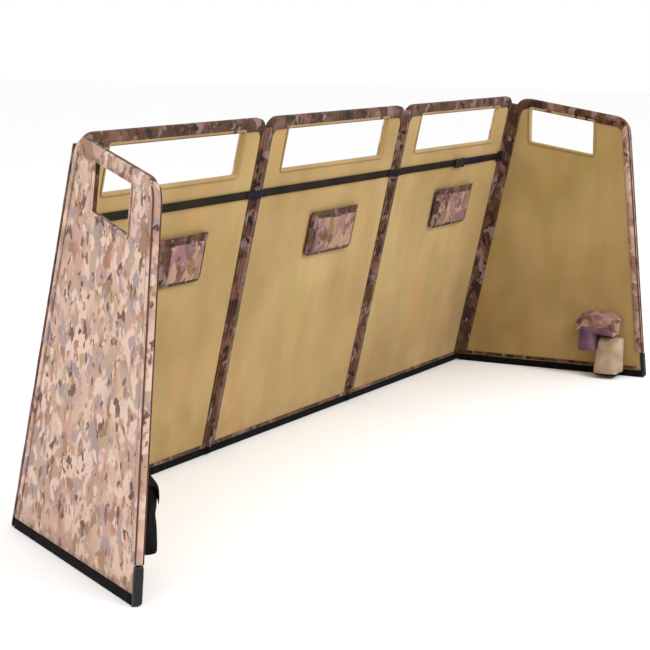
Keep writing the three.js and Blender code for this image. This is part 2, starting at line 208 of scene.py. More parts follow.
class Panel:
    """A panel's outline and window in its own plane, and the matrix that stands it in its place."""

    def __init__(self, name, outline, window, hinge_x, turn, lean, ends, free_side=0):
        self.name = name
        self.outline = outline
        self.window = window
        self.turn = turn
        self.lean = lean
        self.ends = ends  # heights at which the left and right edge bindings stop
        self.free_side = free_side  # -1 or 1 on a wing, for the side its free edge is on
        foot = Vector((hinge_x, AXIS_Y, 0))
        outward = Vector((-math.sin(turn), math.cos(turn), 0))
        place = Matrix.Translation(foot + outward * (AXIS_OFFSET / math.cos(lean)))
        self.matrix = place @ Matrix.Rotation(turn, 4, "Z") @ Matrix.Rotation(lean, 4, "X")


def front_panel(name, place):
    """A front panel, whose place is counted from the middle one."""
    sill = SLOPE_HEIGHT - RAIL_ABOVE_WINDOW - WINDOW_HEIGHT
    window = rectangle((PITCH - WINDOW_WIDTH) / 2, sill, WINDOW_WIDTH, WINDOW_HEIGHT)
    outline = rectangle(SEAM_GAP, 0, PITCH - 2 * SEAM_GAP, SLOPE_HEIGHT)
    return Panel(name, outline, window, (place - 0.5) * PITCH, 0, LEAN, (LOW_END, LOW_END))


def wing_panel(name, side, fold, window_span):
    hinge_corner, lean = wing_angles(fold)
    outline = wing_outline(hinge_corner)
    window = wing_window(outline, window_span)
    ends = (LOW_END, FOOT_END)
    if side < 0:
        outline, window, ends = mirrored(outline), mirrored(window), ends[::-1]
    return Panel(name, outline, window, side * 1.5 * PITCH, -side * fold, lean, ends, side)


WING_LEFT = wing_panel("wing_left", -1, LEFT_FOLD, LEFT_WINDOW_SPAN)
FRONT_LEFT = front_panel("front_left", -1)
FRONT_MIDDLE = front_panel("front_middle", 0)
FRONT_RIGHT = front_panel("front_right", 1)
WING_RIGHT = wing_panel("wing_right", 1, RIGHT_FOLD, RIGHT_WINDOW_SPAN)
PANELS = [WING_LEFT, FRONT_LEFT, FRONT_MIDDLE, FRONT_RIGHT, WING_RIGHT]
FRONTS = [FRONT_LEFT, FRONT_MIDDLE, FRONT_RIGHT]


# ---------------------------------------------------------------- materials

LIT = 0.74  # a surface's own brightness against how bright it looks under the studio's light


def linear(red, green, blue):
    """A screen colour, 0 to 255, as it looks when lit, as the linear colour that a shader takes."""
    parts = [channel / 255 for channel in (red, green, blue)]
    parts = [p / 12.92 if p <= 0.04045 else ((p + 0.055) / 1.055) ** 2.4 for p in parts]
    return [p * LIT for p in parts] + [1]


class Shader:
    """A node material under construction."""

    def __init__(self, name, roughness, metallic=0.0, sheen=0.0, specular=0.3):
        self.material = bpy.data.materials.new(name)
        self.material.use_nodes = True
        self.tree = self.material.node_tree
        self.surface = self.tree.nodes["Principled BSDF"]
        self.surface.inputs["Roughness"].default_value = roughness
        self.surface.inputs["Metallic"].default_value = metallic
        self.surface.inputs["Specular IOR Level"].default_value = specular
        if sheen:
            self.surface.inputs["Sheen Weight"].default_value = sheen
            self.surface.inputs["Sheen Roughness"].default_value = 0.5
        self.place = self.add("ShaderNodeTexCoord").outputs["Object"]

    def add(self, kind, inputs=None, **properties):
        made = self.tree.nodes.new(kind)
        for key, value in properties.items():
            setattr(made, key, value)
        for key, value in (inputs or {}).items():
            if isinstance(value, bpy.types.NodeSocket):
                self.tree.links.new(value, made.inputs[key])
            else:
                made.inputs[key].default_value = value
        return made

    def noise(self, scale, detail=3.0, stretch=(1, 1, 1), offset=(0, 0, 0), distortion=0.0):
        place = {"Vector": self.place, "Scale": stretch, "Location": offset}
        spot = self.add("ShaderNodeMapping", place).outputs["Vector"]
        inputs = {"Vector": spot, "Scale": scale, "Detail": detail, "Distortion": distortion}
        return self.add("ShaderNodeTexNoise", inputs).outputs["Fac"]

    def between(self, value, low, high, bottom=0.0, top=1.0):
        """value taken from low..high to bottom..top, and held there outside."""
        inputs = {"Value": value, "From Min": low, "From Max": high, "To Min": bottom, "To Max": top}
        return self.add("ShaderNodeMapRange", inputs).outputs["Result"]

    def patches(self, low, high, *field):
        """Noise with its values from low to high spread over 0 to 1."""
        return self.between(self.noise(*field), low, high)

    def mix(self, share, a, b):
        return self.add("ShaderNodeMix", {0: share, 6: a, 7: b}, data_type="RGBA").outputs[2]

    def math(self, operation, a, b):
        return self.add("ShaderNodeMath", {0: a, 1: b}, operation=operation).outputs["Value"]

    def thread_bands(self, pitch):
        """Warp and weft bands: threads run up, and across in the plane of whichever wall it is."""
        split = self.add("ShaderNodeSeparateXYZ", {"Vector": self.place})
        across = self.math("ADD", split.outputs["X"], split.outputs["Y"])
        turn = 2 * math.pi / pitch
        warp = self.math("SINE", self.math("MULTIPLY", across, turn), 0.0)
        weft = self.math("SINE", self.math("MULTIPLY", split.outputs["Z"], turn), 0.0)
        return self.math("MULTIPLY", warp, weft)

    def bump(self, height, strength, distance):
        inputs = {"Height": height, "Strength": strength, "Distance": distance}
        normal = self.surface.inputs["Normal"]
        if normal.is_linked:
            inputs["Normal"] = normal.links[0].from_socket
        self.tree.links.new(self.add("ShaderNodeBump", inputs).outputs["Normal"], normal)

    def woven(self, pitch=0.0016, strength=0.25):
        """Threads, and the small creases of cloth."""
        self.bump(self.thread_bands(pitch), strength, 0.0004)
        self.bump(self.noise(38, 4), 0.18, 0.004)

    def colour(self, socket):
        self.tree.links.new(socket, self.surface.inputs["Base Color"])

    def two_tone(self, first, second, low, high, *field):
        """A colour that gives way to another in patches."""
        self.colour(self.mix(self.patches(low, high, *field), first, second))

    def rough(self, socket):
        self.tree.links.new(socket, self.surface.inputs["Roughness"])

    def toned_near_ground(self, colour, ground_tone, height):
        """Colour that gives way in patches to another, darker tone near the ground."""
        level = self.add("ShaderNodeSeparateXYZ", {"Vector": self.place}).outputs["Z"]
        near = self.between(level, height, 0.0)
        patchy = self.math("MULTIPLY", near, self.patches(0.35, 0.7, 14, 5))
        return self.mix(self.math("MULTIPLY", patchy, 0.55), colour, ground_tone)


# The printed blotches, from the first laid down to the last: tone, fineness, the noise's values
# between which the blotch's edge lies, and where in the noise it is taken.
BLOTCHES = (
    ("rose", 0.62, 0.500, 0.545, (3.1, 0.4, 7.7)),
    ("olive", 0.75, 0.555, 0.595, (8.8, 3.3, 5.1)),
    ("brown", 0.85, 0.560, 0.600, (9.2, 5.5, 1.3)),
    ("mauve", 1.00, 0.570, 0.605, (0.7, 8.1, 4.9)),
    ("pale", 1.25, 0.575, 0.610, (6.6, 2.9, 9.4)),
    ("dark", 1.45, 0.610, 0.640, (5.3, 7.4, 2.2)),
    ("rust", 1.60, 0.630, 0.660, (1.9, 4.2, 6.8)),
)
TONES = ("pale", "tan", "rose", "olive", "brown", "mauve", "dark", "rust")
# Screen colours of each printed cloth, in the order of TONES.
COVER_PRINT = (
    (219, 189, 171), (199, 164, 142), (187, 146, 129), (176, 150, 122),
    (152, 112, 88), (158, 136, 136), (96, 64, 52), (176, 118, 84),
)
POCKET_PRINT = (
    (182, 142, 122), (160, 122, 102), (148, 104, 104), (134, 108, 66),
    (108, 70, 46), (122, 86, 98), (78, 44, 34), (128, 78, 50),
)
BINDING_PRINT = (
    (94, 60, 38), (68, 36, 20), (120, 82, 66), (78, 56, 24),
    (50, 24, 12), (140, 110, 108), (28, 14, 10), (104, 52, 28),
)


def blotched(shader, tones, size):
    """Blotches in layers, a little taller than wide. size is about a large blotch's width."""
    wide = shader.patches(0.40, 0.60, 0.4 / size, 2, (1, 1, 0.8))
    colour = shader.mix(wide, tones["pale"], tones["tan"])
    for tone, fineness, low, high, offset in BLOTCHES:
        share = shader.patches(low, high, fineness / size, 2.5, (1, 1, 0.8), offset, 0.25)
        colour = shader.mix(share, colour, tones[tone])
    faded = shader.patches(0.35, 0.75, 9, 4, (1, 1, 0.5), (4, 4, 4))
    return shader.mix(shader.math("MULTIPLY", faded, 0.22), colour, tones["pale"])


def camouflage(name, look, print_tones, size, weave=(), ground_tone=None):
    """Printed cloth. look is its roughness, metal, sheen and specular, and ground_tone is the darker
    colour that it takes on in patches near the ground, and how high that reaches."""
    shader = Shader(name, *look)
    tones = {tone: linear(*screen) for tone, screen in zip(TONES, print_tones)}
    colour = blotched(shader, tones, size)
    shader.colour(shader.toned_near_ground(colour, *ground_tone) if ground_tone else colour)
    shader.woven(*weave)
    return shader.material


def khaki_lining():
    shader = Shader("khaki_lining", 0.86, sheen=0.12, specular=0.25)
    wide = shader.patches(0.34, 0.66, 2.4, 4)
    colour = shader.mix(wide, linear(193, 161, 105), linear(166, 135, 80))
    stains = (  # streaks, warm patches and green ones
        (0.45, linear(156, 122, 66), 0.46, 0.72, 9, 4, (1, 1, 0.22), (2, 5, 1)),
        (0.40, linear(198, 148, 84), 0.52, 0.74, 6, 3, (1, 1, 0.6), (7, 1, 3)),
        (0.45, linear(168, 150, 78), 0.52, 0.74, 7.5, 3, (1, 1, 0.5), (1, 9, 6)),
    )
    for strength, tone, *field in stains:
        colour = shader.mix(shader.math("MULTIPLY", shader.patches(*field), strength), colour, tone)
    # darker in patches towards the ground
    shader.colour(shader.toned_near_ground(colour, linear(150, 112, 62), 0.20))
    shader.woven(0.0018, 0.22)
    return shader.material


def canvas(name, light, dark, look=(0.88, 0, 0.1, 0.2), patches=(0.35, 0.7, 16, 4), weave=()):
    """Plain cloth with patches of wear or fading, and the same kind of look as camouflage()."""
    shader = Shader(name, *look)
    shader.two_tone(light, dark, *patches)
    shader.woven(*weave)
    return shader.material


def webbing(name, light, dark):
    """Strap webbing, with a herringbone of threads along it."""
    shader = Shader(name, 0.8, specular=0.12)
    shader.two_tone(light, dark, 0.35, 0.7, 9, 4)
    herringbone = 6 * 0.0022
    bands = {"Vector": shader.place, "Scale": 1 / herringbone, "Distortion": 0.6, "Detail": 1.0}
    ribs = shader.add("ShaderNodeTexWave", bands, bands_direction="DIAGONAL")
    shader.bump(ribs.outputs["Fac"], 0.5, 0.0006)
    return shader.material


def moulded_plastic():
    shader = Shader("moulded_plastic", 0.5, specular=0.3)
    shader.two_tone(linear(14, 14, 15), linear(34, 32, 31), 0.5, 0.75, 90, 6)
    shader.rough(shader.between(shader.noise(55, 5), 0.3, 0.7, 0.38, 0.62))
    shader.bump(shader.noise(900, 2), 0.12, 0.0003)
    return shader.material


def thread_look(name, tone):
    shader = Shader(name, 0.7, sheen=0.1, specular=0.3)
    shader.two_tone(tone, linear(60, 44, 30), 0.4, 0.6, 1400, 2)
    shader.bump(shader.noise(1800, 1), 0.3, 0.0002)
    return shader.material


def drawn_tube():
    shader = Shader("drawn_tube", 0.35, metallic=0.9)
    scratches = (120, 6, (1, 1, 0.05))
    shader.two_tone(linear(176, 178, 180), linear(140, 142, 144), 0.4, 0.7, *scratches)
    shader.rough(shader.between(shader.noise(70, 4), 0.3, 0.7, 0.28, 0.5))
    return shader.material


# A darker tone that the cover takes on in patches near the ground, and how high it reaches
GROUND_TONE = (linear(168, 134, 106), 0.14)
CAMO = camouflage("camo_cloth", (0.92, 0, 0.1, 0.2), COVER_PRINT, 0.046, ground_tone=GROUND_TONE)
POCKET_CAMO = camouflage("pocket_camo", (0.9, 0, 0.1, 0.2), POCKET_PRINT, 0.050)
BINDING = camouflage("binding_camo", (0.88, 0, 0.06, 0.25), BINDING_PRINT, 0.046, (0.0013, 0.35))
KHAKI = khaki_lining()
WORN = (0.45, 0.8, 60, 5)
BLACK = canvas("black_cloth", linear(10, 9, 8), linear(30, 25, 22), (0.9, 0, 0, 0.1), WORN, (0.0014, 0.4))
GUSSET = canvas("khaki_gusset", linear(196, 172, 146), linear(160, 132, 104))
PLUM = canvas("plum_cloth", linear(140, 100, 110), linear(88, 56, 80))
WEBBING = webbing("strap_webbing", linear(42, 33, 18), linear(20, 16, 12))
NAVY_WEBBING = webbing("strap_tail_webbing", linear(31, 29, 43), linear(16, 15, 23))
PIPING = thread_look("piping_cord", linear(104, 46, 32))
PLASTIC = moulded_plastic()
DARK_THREAD = thread_look("dark_thread", linear(120, 92, 64))
TUBE = drawn_tube()


# ---------------------------------------------------------------- meshes

def build(name, points, faces, material, matrix):
    """An object from points in a panel's own frame."""
    mesh = bpy.data.meshes.new(name)
    mesh.from_pydata([matrix @ Vector(p) for p in points], [], faces)
    mesh.materials.append(material)
    mesh.polygons.foreach_set("use_smooth", [True] * len(faces))
    made = bpy.data.objects.new(name, mesh)
    bpy.context.scene.collection.objects.link(made)
    return made


def loft(rings, closed=False):
    """Points and faces of a solid through rings of equal length, capped unless the path closes."""
    size = len(rings[0])
    points = [p for ring in rings for p in ring]
    faces = []
    stages = len(rings) if closed else len(rings) - 1
    for i, j in product(range(stages), range(size)):
        here, there = i * size, (i + 1) % len(rings) * size
        k = (j + 1) % size
        faces.append((here + j, here + k, there + k, there + j))
    if not closed:
        faces.append(tuple(range(size))[::-1])
        faces.append(tuple(range(len(points) - size, len(points))))
    return points, faces


def fixed(made):
    """The object with its modifiers applied."""
    graph = bpy.context.evaluated_depsgraph_get()
    mesh = bpy.data.meshes.new_from_object(made.evaluated_get(graph))
    made.modifiers.clear()
    made.data = mesh
    return made


def outward_normals(made):
    """Faces turned to point out of a closed mesh."""
    bpy.context.view_layer.objects.active = made
    made.select_set(True)
    bpy.ops.object.mode_set(mode="EDIT")
    bpy.ops.mesh.select_all(action="SELECT")
    bpy.ops.mesh.normals_make_consistent(inside=False)
    bpy.ops.object.mode_set(mode="OBJECT")
    made.select_set(False)
    return made


def solid(name, rings, material, matrix, closed=False):
    """A closed piece lofted through rings of points."""
    points, faces = loft(rings, closed)
    return outward_normals(build(name, points, faces, material, matrix))


def placed(made, panel, node=None):
    """A piece that moves with its panel, with the CAD node that it stands for hidden."""
    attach(made, panel.name)
    if node:
        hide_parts(node)
    return made


def piece(panel, name, rings, material, node=None, closed=False):
    """A closed piece lofted through rings in a panel's plane, named for the panel that it moves with."""
    made = solid(f"{name}_{panel.name}", rings, material, panel.matrix, closed)
    return placed(made, panel, node and f"{node}_{panel.name}")


def round_section(count, power, wide, deep):
    """Points round an oval with these half sizes. The lower the power, the squarer it is."""
    section = []
    for k in range(count):
        angle = 2 * math.pi * k / count
        c, s = math.cos(angle), math.sin(angle)
        across, out = abs(c) ** power * wide, abs(s) ** power * deep
        section.append((math.copysign(1, c) * across, math.copysign(1, s) * out))
    return section


def paint_strips(made, size, material, chosen):
    """Gives a material to the strips of a loft that chosen() picks by stage and place in the section."""
    made.data.materials.append(material)
    slot = len(made.data.materials) - 1
    for face in made.data.polygons:
        if chosen(*divmod(face.index, size)):
            face.material_index = slot


def paint_places(made, panel, material, chosen):
    """Gives a material to the faces that chosen() picks by centre and normal in the panel's frame."""
    made.data.materials.append(material)
    slot = len(made.data.materials) - 1
    to_panel = panel.matrix.inverted()
    turn = to_panel.to_3x3()
    for face in made.data.polygons:
        if chosen(to_panel @ face.center, (turn @ face.normal).normalized()):
            face.material_index = slot


# ---------------------------------------------------------------- cloth faces

def rows_and_columns(outline, window):
    """Four rows of four points, with the window's corners as the middle four."""
    left_low, right_low, right_high, left_high = outline
    sill_left, sill_right, top_right, top_left = window
    up_left, up_right = left_high - left_low, right_high - right_low

    def level(a, b):
        along = b - a
        return [crossing(a, along, left_low, up_left), a, b, crossing(a, along, right_low, up_right)]

    sill, head = level(sill_left, sill_right), level(top_left, top_right)

    def like(row, start, end):
        whole = (row[3] - row[0]).length
        return [start.lerp(end, (p - row[0]).length / whole) for p in row]

    return [like(sill, left_low, right_low), sill, head, like(head, left_high, right_high)]


def shares(points, step):
    """For each gap between points, its index and shares across it, with the last one closing."""
    result = []
    for i, (a, b) in enumerate(zip(points, points[1:])):
        count = max(2, round((b - a).length / step))
        result += [(i, k / count) for k in range(count)]
    return result + [(len(points) - 2, 1.0)]


def rounded_corner(point, corner, along, down, radius):
    """Points in the square at a corner pulled in to a quarter circle."""
    across = crossing(point, down, corner, along)
    s = (across - corner).dot(along)
    t = (point - across).dot(down)
    if s >= radius or t >= radius:
        return point
    x, y = 1 - s / radius, 1 - t / radius
    new_x = x * math.sqrt(1 - y * y / 2)
    new_y = y * math.sqrt(1 - x * x / 2)
    return corner + along * radius * (1 - new_x) + down * radius * (1 - new_y)


def rounded_top(point, outline):
    """A point of a face, with the face's two top corners rounded."""
    low_left, low_right, right, left = outline
    over = (left - right).normalized()
    radius = CORNER_RADIUS - CLOTH_INSET
    point = rounded_corner(point, right, over, (low_right - right).normalized(), radius)
    return rounded_corner(point, left, -over, (low_left - left).normalized(), radius)


def slack(point, outline, window, seed):
    """How far the cloth stands off its flat plane: a broad sag, soft drapes, and folds that fan out
    from the corners of the panel where the frame pulls it tight. The edges hold it flat."""
    to_edge = min((point - p).dot(inward) for p, _, inward in edges(outline))
    to_window = abs(max(-(point - p).dot(inward) for p, _, inward in edges(window)))
    free = smoothstep(0.012, 0.16, min(to_edge, to_window))
    broad = noise.noise(Vector((point.x * 2.6, point.y * 1.7, seed)))
    drape = noise.noise(Vector((point.x * 9.0, point.y * 1.8, seed + 5.0)))
    height = SAG * broad + DRAPE * drape
    for i, corner in enumerate(outline):
        arm = point - corner
        reach = arm.length
        angle = math.atan2(abs(arm.x), abs(arm.y))
        fan = math.sin(angle * 15 + 4 * noise.noise(Vector((reach * 4, seed, i))))
        height += FAN_FOLD * fan * smoothstep(0.60, 0.08, reach) * smoothstep(0.02, 0.12, reach)
    return height * free


def cloth_mesh(outline, window, surface_y, side, seed):
    """Points and faces of a cloth face, with a hole for the window."""
    lattice = rows_and_columns(outline, window)
    columns = shares(lattice[1], CLOTH_STEP)
    rows = shares([row[1] for row in lattice], CLOTH_STEP)
    points, index = [], {}
    for (r, (row, up)), (c, (column, over)) in product(enumerate(rows), enumerate(columns)):
        in_window = row == 1 and column == 1 and 0 < up < 1 and 0 < over < 1
        if in_window:
            continue
        low = lattice[row][column].lerp(lattice[row][column + 1], over)
        high = lattice[row + 1][column].lerp(lattice[row + 1][column + 1], over)
        spot = rounded_top(low.lerp(high, up), outline)
        index[r, c] = len(points)
        points.append((spot.x, surface_y + slack(spot, outline, window, seed), spot.y))
    faces = []
    for r, c in product(range(len(rows) - 1), range(len(columns) - 1)):
        if rows[r][0] == 1 and columns[c][0] == 1:
            continue
        quad = (index[r, c], index[r, c + 1], index[r + 1, c + 1], index[r + 1, c])
        faces.append(quad if side < 0 else quad[::-1])
    return points, faces


def cloth_face(panel, name, side, material, seed):
    """One face of a panel's envelope, stretched over the frame, with its window cut out."""
    outline = inset(panel.outline, [LOW_END - 0.002, *[CLOTH_INSET] * 3])
    window = inset(panel.window, [-0.001] * 4)
    points, faces = cloth_mesh(outline, window, side * (HALF - 0.0008), side, seed)
    made = build(name, points, faces, material, panel.matrix)
    skin = made.modifiers.new("thickness", "SOLIDIFY")
    skin.thickness = CLOTH
    skin.offset = -1
    fixed(made)
    cut = area_of(outline) - area_of(window)
    return made


def cloth_faces(panel, number):
    outer = cloth_face(panel, f"cover_cloth_{panel.name}", 1, CAMO, 10.0 + number)
    placed(outer, panel, f"outer_cover_{panel.name}")
    inner = cloth_face(panel, f"lining_cloth_{panel.name}", -1, KHAKI, 30.0 + number)
    placed(inner, panel, f"lining_{panel.name}")


# ---------------------------------------------------------------- bound edges

BEND_STEPS, RUN_STEPS = 8, 40
LEFT_STAGES = RUN_STEPS + 5  # of the edge's route that run up the left edge
RIGHT_STAGES = 2 * RUN_STEPS + BEND_STEPS + 5  # of the route before it comes down the right edge


def edge_route(panel, depth):
    """Points up the left edge, along the top and down the right edge, this far in from the edge."""
    distances = [0, depth, depth * TOP_TAPE_RATIO, depth]
    low_left, low_right, high_right, high_left = inset(panel.outline, distances)
    start = at_height(low_left, high_left, panel.ends[0])
    end = at_height(low_right, high_right, panel.ends[1])
    radius = max(CORNER_RADIUS - depth, 0.012)
    left_bend = turned_corner(start, high_left, high_right, radius, BEND_STEPS)
    right_bend = turned_corner(high_left, high_right, end, radius, BEND_STEPS)
    rise = straight(start, left_bend[0], RUN_STEPS)
    top = straight(left_bend[-1], right_bend[0], RUN_STEPS)
    fall = straight(right_bend[-1], end, RUN_STEPS)
    return [start, *rise, *left_bend, *top, *right_bend, *fall, end]


def edge_section():
    """A tape folded over an edge, as pairs of depth and y, round its closed section."""
    outside = HALF + TAPE
    bulge = [(-TAPE * 0.6, y) for y in (-HALF * 0.7, 0.0, HALF * 0.7)]
    outer = [(0.003, -outside), *bulge, (0.003, outside)]
    inner = [(TAPE_WIDTH, HALF), (0.004, HALF), (0.0016, 0.0), (0.004, -HALF), (TAPE_WIDTH, -HALF)]
    return [(TAPE_WIDTH, -outside), *outer, (TAPE_WIDTH, outside), *inner]


def edge_tape(panel):
    """Binding folded over the sides and top of a panel: camouflage cloth outside, dark tape inside,
    and pale cloth all round the free edge of a wing."""
    section = edge_section()
    routes = [edge_route(panel, depth) for depth, _ in section]
    rings = []
    for spots in zip(*routes):
        ring = []
        for spot, (_, y) in zip(spots, section):
            ripple = 0.0006 * noise.noise(Vector((spot.x * 24, spot.y * 24, y * 300)))
            ring.append((spot.x, y + math.copysign(ripple, y), spot.y))
        rings.append(ring)

    def pale(stage, strip):
        outside = strip in (4, 5, 6)
        if panel.free_side < 0:
            return outside or stage < LEFT_STAGES
        if panel.free_side > 0:
            return outside or stage >= RIGHT_STAGES and strip not in (2, 3)
        return outside

    made = piece(panel, "edge_tape", rings, BINDING, "edge_binding")
    paint_strips(made, len(section), CAMO, pale)


def piping(panel):
    """Dark piped cords along the two creases of a wing's free edge."""
    span = slice(0, LEFT_STAGES) if panel.free_side < 0 else slice(RIGHT_STAGES, None)
    route = edge_route(panel, 0.002)[span]
    section = round_section(8, 1, PIPING_RADIUS * panel.free_side, PIPING_RADIUS * 0.8)
    for face, y in (("outer", HALF + TAPE), ("inner", -HALF - TAPE)):
        rings = [[(spot.x + across, y + out, spot.y) for across, out in section] for spot in route]
        piece(panel, f"piping_{face}", rings, PIPING)


def window_route(panel, grow):
    """Points once round a window, this far outside it."""
    outline = inset(panel.window, [-grow] * 4)
    bends = []
    for i, corner in enumerate(outline):
        after = outline[(i + 1) % 4]
        bends.append(turned_corner(outline[i - 1], corner, after, WINDOW_RADIUS + grow, 4))
    route = []
    for bend, following in zip(bends, bends[1:] + bends[:1]):
        route += [*bend, *straight(bend[-1], following[0], 12)]
    return route


def window_tape(panel):
    """Binding round the window, through both faces, with painted shade on the left wing's jamb."""
    half = HALF + 0.0003
    outside = half + TAPE
    section = [
        (WINDOW_TAPE, -outside), (0.002, -outside), (0.0, -half * 0.6), (0.0, half * 0.6),
        (0.002, outside), (WINDOW_TAPE, outside), (WINDOW_TAPE, half), (0.003, half),
        (0.0015, 0.0), (0.003, -half), (WINDOW_TAPE, -half),
    ]
    routes = [window_route(panel, grow) for grow, _ in section]
    rings = []
    for spots in zip(*routes):
        rings.append([(spot.x, y, spot.y) for spot, (_, y) in zip(spots, section)])
    made = piece(panel, "window_tape", rings, KHAKI, "window_binding", closed=True)
    paint_strips(made, len(section), CAMO, lambda stage, strip: strip in (3, 4))
    # The left wing's jamb is painted in dark binding: painted shade inside that window.
    if panel is WING_LEFT:
        paint_strips(made, len(section), BINDING, lambda stage, strip: strip == 2)


# ---------------------------------------------------------------- stitching

def stitch(centre, along, y):
    """Rings of one short stitch that lies on a face, with flat ends."""
    radius = THREAD / 2
    side = Vector((-along.y, along.x)) * radius
    rings = []
    for share, girth in ((-0.5, 0.3), (-0.25, 1.0), (0.25, 1.0), (0.5, 0.3)):
        p = centre + along * STITCH_LENGTH * share
        rise = math.copysign(radius * girth, y)
        left, right = p - side * girth, p + side * girth
        top, under = (p.x, y + rise, p.y), (p.x, y - rise, p.y)
        rings.append([(left.x, y, left.y), top, (right.x, y, right.y), under])
    return rings


def stitches(route, y):
    """Every stitch along a route on a face."""
    result = []
    place = STITCH_PITCH / 2
    for a, b in zip(route, route[1:]):
        length = (b - a).length
        if length < 1e-6:
            continue
        along = (b - a) / length
        while place < length:
            result.append(stitch(a + along * place, along, y))
            place += STITCH_PITCH
        place -= length
    return result


def stitching(name, panel, *rows):
    """One piece that holds several rows of stitches, each a route and the y that it lies at."""
    points, faces = [], []
    for rings in [rings for route, y in rows for rings in stitches(route, y)]:
        more, sides = loft(rings)
        faces += [tuple(len(points) + i for i in face) for face in sides]
        points += more
    made = outward_normals(build(name, points, faces, DARK_THREAD, panel.matrix))
    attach(made, panel.name)


def edge_stitching(panel):
    """Rows along the inner edge of the edge tape and of the window tape, on both faces."""
    edge = edge_route(panel, TAPE_WIDTH - 0.003)
    lift = HALF + TAPE + 0.0003
    stitching(f"edge_stitching_{panel.name}", panel, (edge, -lift), (edge, lift))
    ring = window_route(panel, WINDOW_TAPE - 0.0025)
    ring.append(ring[0])
    lift = HALF + TAPE + 0.0005
    stitching(f"window_stitching_{panel.name}", panel, (ring, -lift), (ring, lift))


# ---------------------------------------------------------------- hems

def hem_ends(panel):
    """Where a panel's hem starts and stops along the ground."""
    if panel is WING_LEFT:
        return -(WING_BASE - 0.014), -2 * SEAM_GAP
    if panel is WING_RIGHT:
        return 2 * SEAM_GAP, WING_BASE - 0.014
    return SEAM_GAP, PITCH - SEAM_GAP


def ground_hem(panel):
    """Black cloth rolled along the base, flat where it stands on the ground."""
    steep = math.tan(panel.lean)
    rings = []
    for x in spread(*hem_ends(panel), 48):
        swell = 0.0012 * noise.noise(Vector((x * 9, panel.lean * 7, 1.5)))
        top = HEM_HEIGHT + 0.003 + swell
        wide = HALF + 0.0006 + 0.5 * abs(swell)
        side = [(wide, 0.003), (wide + 0.0006, 0.012), (wide, top - 0.004)]
        other = [(-y, z) for y, z in side[::-1]]
        foot, crest = wide * 0.9, wide * 0.72
        section = [(-foot, 0.0), (foot, 0.0), *side, (crest, top), (-crest, top), *other]
        rings.append([(x, y, z - y * steep) for y, z in section])
    piece(panel, "hem", rings, BLACK, "ground_hem")


def hem_band(panel):
    """Camouflage tape over the foot of the lining, just above the black hem."""
    low_left, low_right, high_right, high_left = inset(panel.outline, [0, TAPE_WIDTH, 0, TAPE_WIDTH])
    bottom, top = LOW_END + 0.001, LOW_END + 0.013
    rings = []
    for share in spread(0, 1, 44):
        ring = []
        for height, lift in ((bottom, 0.0), (top, 0.0), (top, TAPE), (bottom, TAPE)):
            left, right = at_height(low_left, high_left, height), at_height(low_right, high_right, height)
            spot = left.lerp(right, share)
            ripple = 0.0005 * noise.noise(Vector((spot.x * 30, 0.0, 8.0)))
            ring.append((spot.x, -HALF - 0.0002 - lift - ripple, spot.y))
        rings.append(ring)
    piece(panel, "hem_tape", rings, BINDING)


# ---------------------------------------------------------------- fold lines

GUSSET_CLOTH = 0.0016
RIDGE_SKIRT = SEAM_GAP + 0.010  # how far out from the axis the ridge's arms reach
HOLD = SEAM_GAP + 0.001  # how far out from the axis the ridge lies still on its panel
FOLD_TOP = SLOPE_HEIGHT - 0.030


def arc_section(radius, start, end):
    """A strip of cloth bent round the hinge axis, as points in the plane across the axis."""
    angles = spread(start, end, 10)
    outer = [(math.cos(a) * radius, math.sin(a) * radius) for a in angles]
    radius -= GUSSET_CLOTH
    return outer + [(math.cos(a) * radius, math.sin(a) * radius) for a in angles[::-1]]


def ridge_section(fold, side, inner_y, ripple):
    """Binding that lies on both inner faces and swells over the bead between them."""
    middle = -math.pi / 2 - side * fold / 2
    half_span = max(0.35, math.radians(78) - fold / 2)

    def arm(sign, turn, lift):
        c, s = math.cos(turn), math.sin(turn)
        flat = [(sign * RIDGE_SKIRT, inner_y - lift), (sign * HOLD, inner_y - lift - 0.0008)]
        return [(x * c - y * s, x * s + y * c) for x, y in flat]

    def surface(lift, radius):
        angles = [middle + side * half_span * share for share in spread(-1, 1, 6)]
        crown = [(math.cos(a) * radius, math.sin(a) * radius) for a in angles]
        return [*arm(-side, 0.0, lift), *crown, *arm(side, -side * fold, lift)[::-1]]

    under, swell = TAPE + 0.0005, BEAD_RADIUS + 0.0012 + ripple
    return surface(under + TAPE, swell) + surface(under, swell - TAPE)[::-1]


def fold_strip(name, child, axis, rings, cloth):
    """A strip of a fold line's cover, lofted through rings in the plane across the axis."""
    made = solid(f"{name}_{child.name}", rings, cloth, axis)
    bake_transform(made)
    return made


